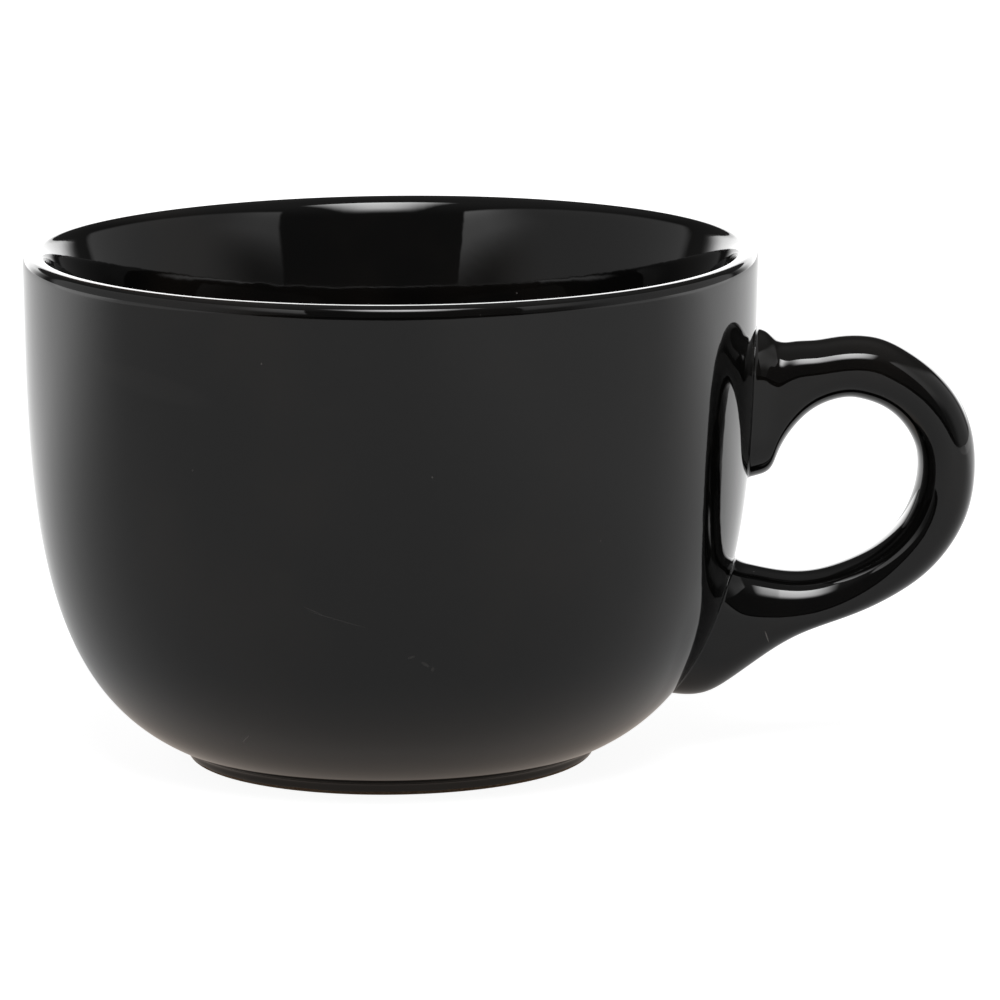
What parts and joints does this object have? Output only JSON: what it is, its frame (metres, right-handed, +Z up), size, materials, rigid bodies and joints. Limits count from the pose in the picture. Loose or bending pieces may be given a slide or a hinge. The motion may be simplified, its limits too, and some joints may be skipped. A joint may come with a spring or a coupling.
{
  "type": "mug",
  "caption": "Wide glazed stoneware soup mug with a near-upright wall, a bowl-shaped base on a ring foot and a rounded loop handle, for soup or a hot drink.",
  "frame": {"origin": "bottom centre of the whole mug with its handle, on the surface that the foot ring stands on", "axes": "+X from the mug's axis towards the handle, +Z up along the mug's axis"},
  "size_m": [0.1586, 0.122, 0.0857],
  "materials": {
    "black_glaze": "gloss black glaze over stoneware",
    "slip_glaze": "luting slip under the same gloss black glaze"
  },
  "bodies": {
    "root": {"mug_body": "black_glaze", "handle": "black_glaze", "upper_slip_joint": "slip_glaze", "lower_slip_joint": "slip_glaze"}
  },
  "joints": []
}
